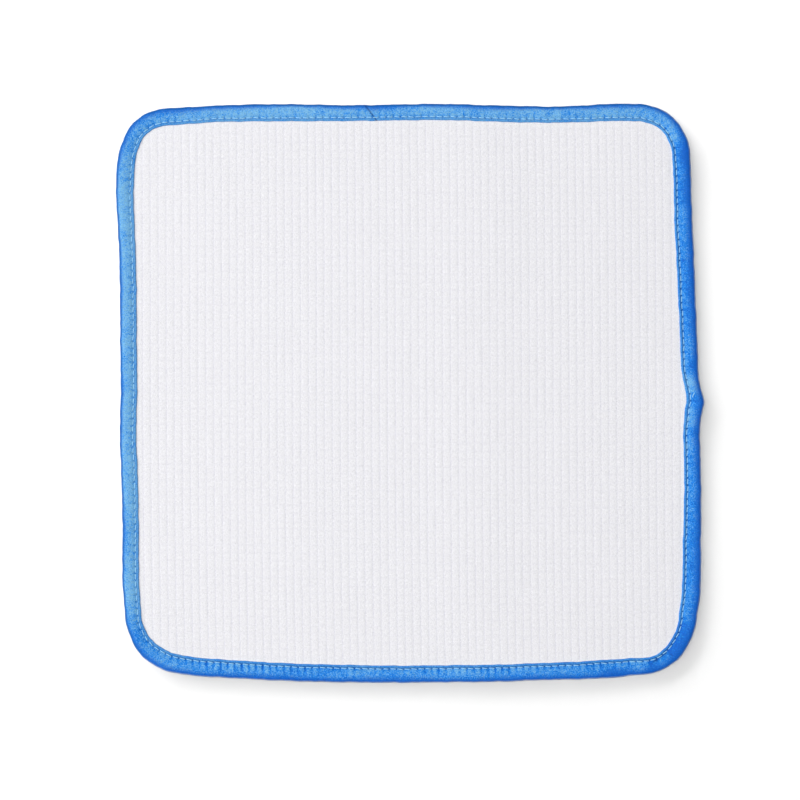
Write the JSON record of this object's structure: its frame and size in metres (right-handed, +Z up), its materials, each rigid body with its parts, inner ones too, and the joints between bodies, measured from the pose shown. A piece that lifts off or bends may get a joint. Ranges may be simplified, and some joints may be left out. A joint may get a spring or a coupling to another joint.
{
  "type": "waffle-weave microfiber towel with bound edge",
  "caption": "Flat square waffle-weave drying towel with rounded corners and a folded satin binding stitched round its edge.",
  "frame": {"origin": "middle of the towel's outline, on the surface that it lies on", "axes": "+Z up through the cloth, +Y towards the side with the slanting seam in its binding, +X towards the side with the lap"},
  "size_m": [0.4062, 0.4, 0.0049],
  "materials": {
    "waffle_cloth": "soft matt white microfiber in a small square waffle weave",
    "binding_satin": "azure blue satin tape with a soft sheen, darker at its outer fold"
  },
  "bodies": {
    "root": {"waffle_panel": "waffle_cloth", "edge_binding": "binding_satin"}
  },
  "joints": []
}
